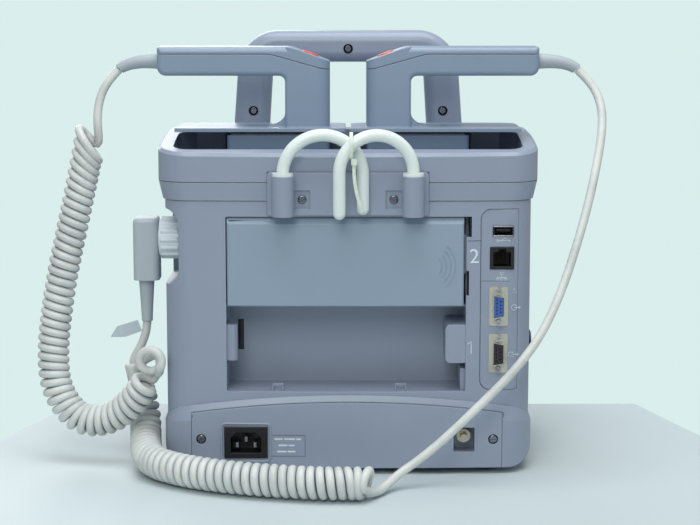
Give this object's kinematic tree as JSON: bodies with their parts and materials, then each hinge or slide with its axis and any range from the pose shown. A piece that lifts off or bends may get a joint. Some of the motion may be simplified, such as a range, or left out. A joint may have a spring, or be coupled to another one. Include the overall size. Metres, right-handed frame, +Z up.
{
  "type": "defibrillator",
  "caption": "Monitor defibrillator with external paddles in a top tray, coiled paddle cords, rear battery bay, carry handle and swivelling bed-rail hooks.",
  "frame": {"origin": "on the floor under the middle of the object's plan, measured without its free cords", "axes": "+Z up, +Y out of the rear panel, +X towards the therapy connector's side"},
  "size_m": [0.4559, 0.3225, 0.3423],
  "materials": {
    "aluminium_can": "plain aluminium",
    "black_plastic": "moulded plastic",
    "blue_plastic": "moulded plastic",
    "brass_plated": "plated brass",
    "button_orange": "smooth moulded plastic",
    "case_plastic": "fine-textured moulded plastic",
    "cell_sleeve": "shrink sleeve",
    "circuit_board": "solder-masked laminate",
    "coated_rod": "smooth plastic coating on a steel rod",
    "cord_jacket": "satin flexible jacket",
    "foot_rubber": "matte rubber",
    "nylon": "translucent nylon",
    "overlay": "printed polycarbonate overlay",
    "pale_plastic": "moulded plastic",
    "plated_steel": "nickel-plated steel",
    "stainless": "brushed stainless steel",
    "window": "clear hard-coated window"
  },
  "bodies": {
    "housing": {"base_housing": "case_plastic", "bay_contacts": "case_plastic", "capacitor": "aluminium_can", "case_screws": "plated_steel", "collar_band": "case_plastic", "connector_panel": "case_plastic", "cord_left_coil": "cord_jacket", "cord_left_lead": "cord_jacket", "cord_right_coil": "cord_jacket", "cord_right_lead": "cord_jacket", "cord_split": "cord_jacket", "cord_trunk": "cord_jacket", "data_ports": "black_plastic", "display_window": "window", "dsub_inserts": "blue_plastic", "dsub_shells": "plated_steel", "feet": "foot_rubber", "front_case": "case_plastic", "ground_stud": "brass_plated", "handle_front_half": "case_plastic", "handle_rear_half": "case_plastic", "hook_bracket": "case_plastic", "hook_bushes": "coated_rod", "jackscrews": "plated_steel", "keypad_overlay": "overlay", "lcd_module": "black_plastic", "main_board": "circuit_board", "mains_inlet": "black_plastic", "mains_inlet_pins": "plated_steel", "mains_panel": "case_plastic", "patient_sockets": "black_plastic", "plug_relief": "cord_jacket", "power_module": "aluminium_can", "rear_case": "case_plastic", "therapy_plug": "pale_plastic", "therapy_socket": "black_plastic", "top_cover": "case_plastic"},
    "hook_left": {"hook_left": "coated_rod"},
    "hook_right": {"hook_right": "coated_rod", "cable_tie": "nylon"},
    "battery": {"battery_case": "case_plastic", "battery_cells": "cell_sleeve"},
    "latch_lower": {"latch_lower": "case_plastic"},
    "latch_upper": {"latch_upper": "case_plastic"},
    "lock_ring": {"therapy_lock_ring": "pale_plastic"},
    "mode_knob": {"mode_knob": "case_plastic"},
    "shock_key": {"shock_key": "button_orange"},
    "printer_door": {"printer_door": "case_plastic"},
    "paddle_left": {"paddle_left_lower_shell": "case_plastic", "paddle_left_upper_shell": "case_plastic", "paddle_left_electrode_block": "case_plastic", "paddle_left_electrode": "stainless", "paddle_left_relief": "cord_jacket"},
    "discharge_button_left": {"paddle_left_button": "button_orange"},
    "paddle_right": {"paddle_right_lower_shell": "case_plastic", "paddle_right_upper_shell": "case_plastic", "paddle_right_electrode_block": "case_plastic", "paddle_right_electrode": "stainless", "paddle_right_relief": "cord_jacket"},
    "discharge_button_right": {"paddle_right_button": "button_orange"}
  },
  "joints": [
    {"name": "hook_right_swing", "type": "hinge", "parent": "housing", "child": "hook_right", "pos_m": [-0.05, 0.112, 0.22], "axis": [0, 0, 1], "range_deg": [0, 90]},
    {"name": "hook_left_swing", "type": "hinge", "parent": "housing", "child": "hook_left", "pos_m": [0.05, 0.112, 0.22], "axis": [0, 0, -1], "range_deg": [0, 81.5]},
    {"name": "battery_slide", "type": "slide", "parent": "housing", "child": "battery", "axis": [0, 1, 0], "range_m": [0, 0.06]},
    {"name": "latch_lower_press", "type": "slide", "parent": "housing", "child": "latch_lower", "axis": [1, 0, 0], "range_m": [0, 0.0055], "stiffness_N_per_m": 400, "springref_m": -0.001},
    {"name": "latch_upper_press", "type": "slide", "parent": "housing", "child": "latch_upper", "axis": [1, 0, 0], "range_m": [0, 0.001], "stiffness_N_per_m": 400, "springref_m": -0.001},
    {"name": "lock_ring_turn", "type": "hinge", "parent": "housing", "child": "lock_ring", "pos_m": [0.142, 0.04, 0.1795], "axis": [1, 0, 0], "range_deg": [0, 45]},
    {"name": "mode_knob_turn", "type": "hinge", "parent": "housing", "child": "mode_knob", "pos_m": [0.096, -0.115, 0.166], "axis": [0, -1, 0], "range_deg": [0, 300]},
    {"name": "shock_key_press", "type": "slide", "parent": "housing", "child": "shock_key", "axis": [0, 1, 0], "range_m": [0, 0.0015], "stiffness_N_per_m": 700, "springref_m": -0.0005},
    {"name": "printer_door_open", "type": "hinge", "parent": "housing", "child": "printer_door", "pos_m": [-0.1438, -0.066, 0.1284], "axis": [0, -1, 0], "range_deg": [0, 95]},
    {"name": "paddle_left_lift", "type": "slide", "parent": "housing", "child": "paddle_left", "axis": [0, 0, 1], "range_m": [0, 0.06]},
    {"name": "paddle_right_lift", "type": "slide", "parent": "housing", "child": "paddle_right", "axis": [0, 0, 1], "range_m": [0, 0.06]},
    {"name": "discharge_left_press", "type": "slide", "parent": "paddle_left", "child": "discharge_button_left", "axis": [0.342, 0, -0.9397], "range_m": [0, 0.0025], "stiffness_N_per_m": 500, "springref_m": -0.0005},
    {"name": "discharge_right_press", "type": "slide", "parent": "paddle_right", "child": "discharge_button_right", "axis": [-0.342, 0, -0.9397], "range_m": [0, 0.0025], "stiffness_N_per_m": 500, "springref_m": -0.0005}
  ],
  "couplings": [
    {"joint": "hook_left_swing", "follows": "hook_right_swing", "ratio": 0.9}
  ]
}
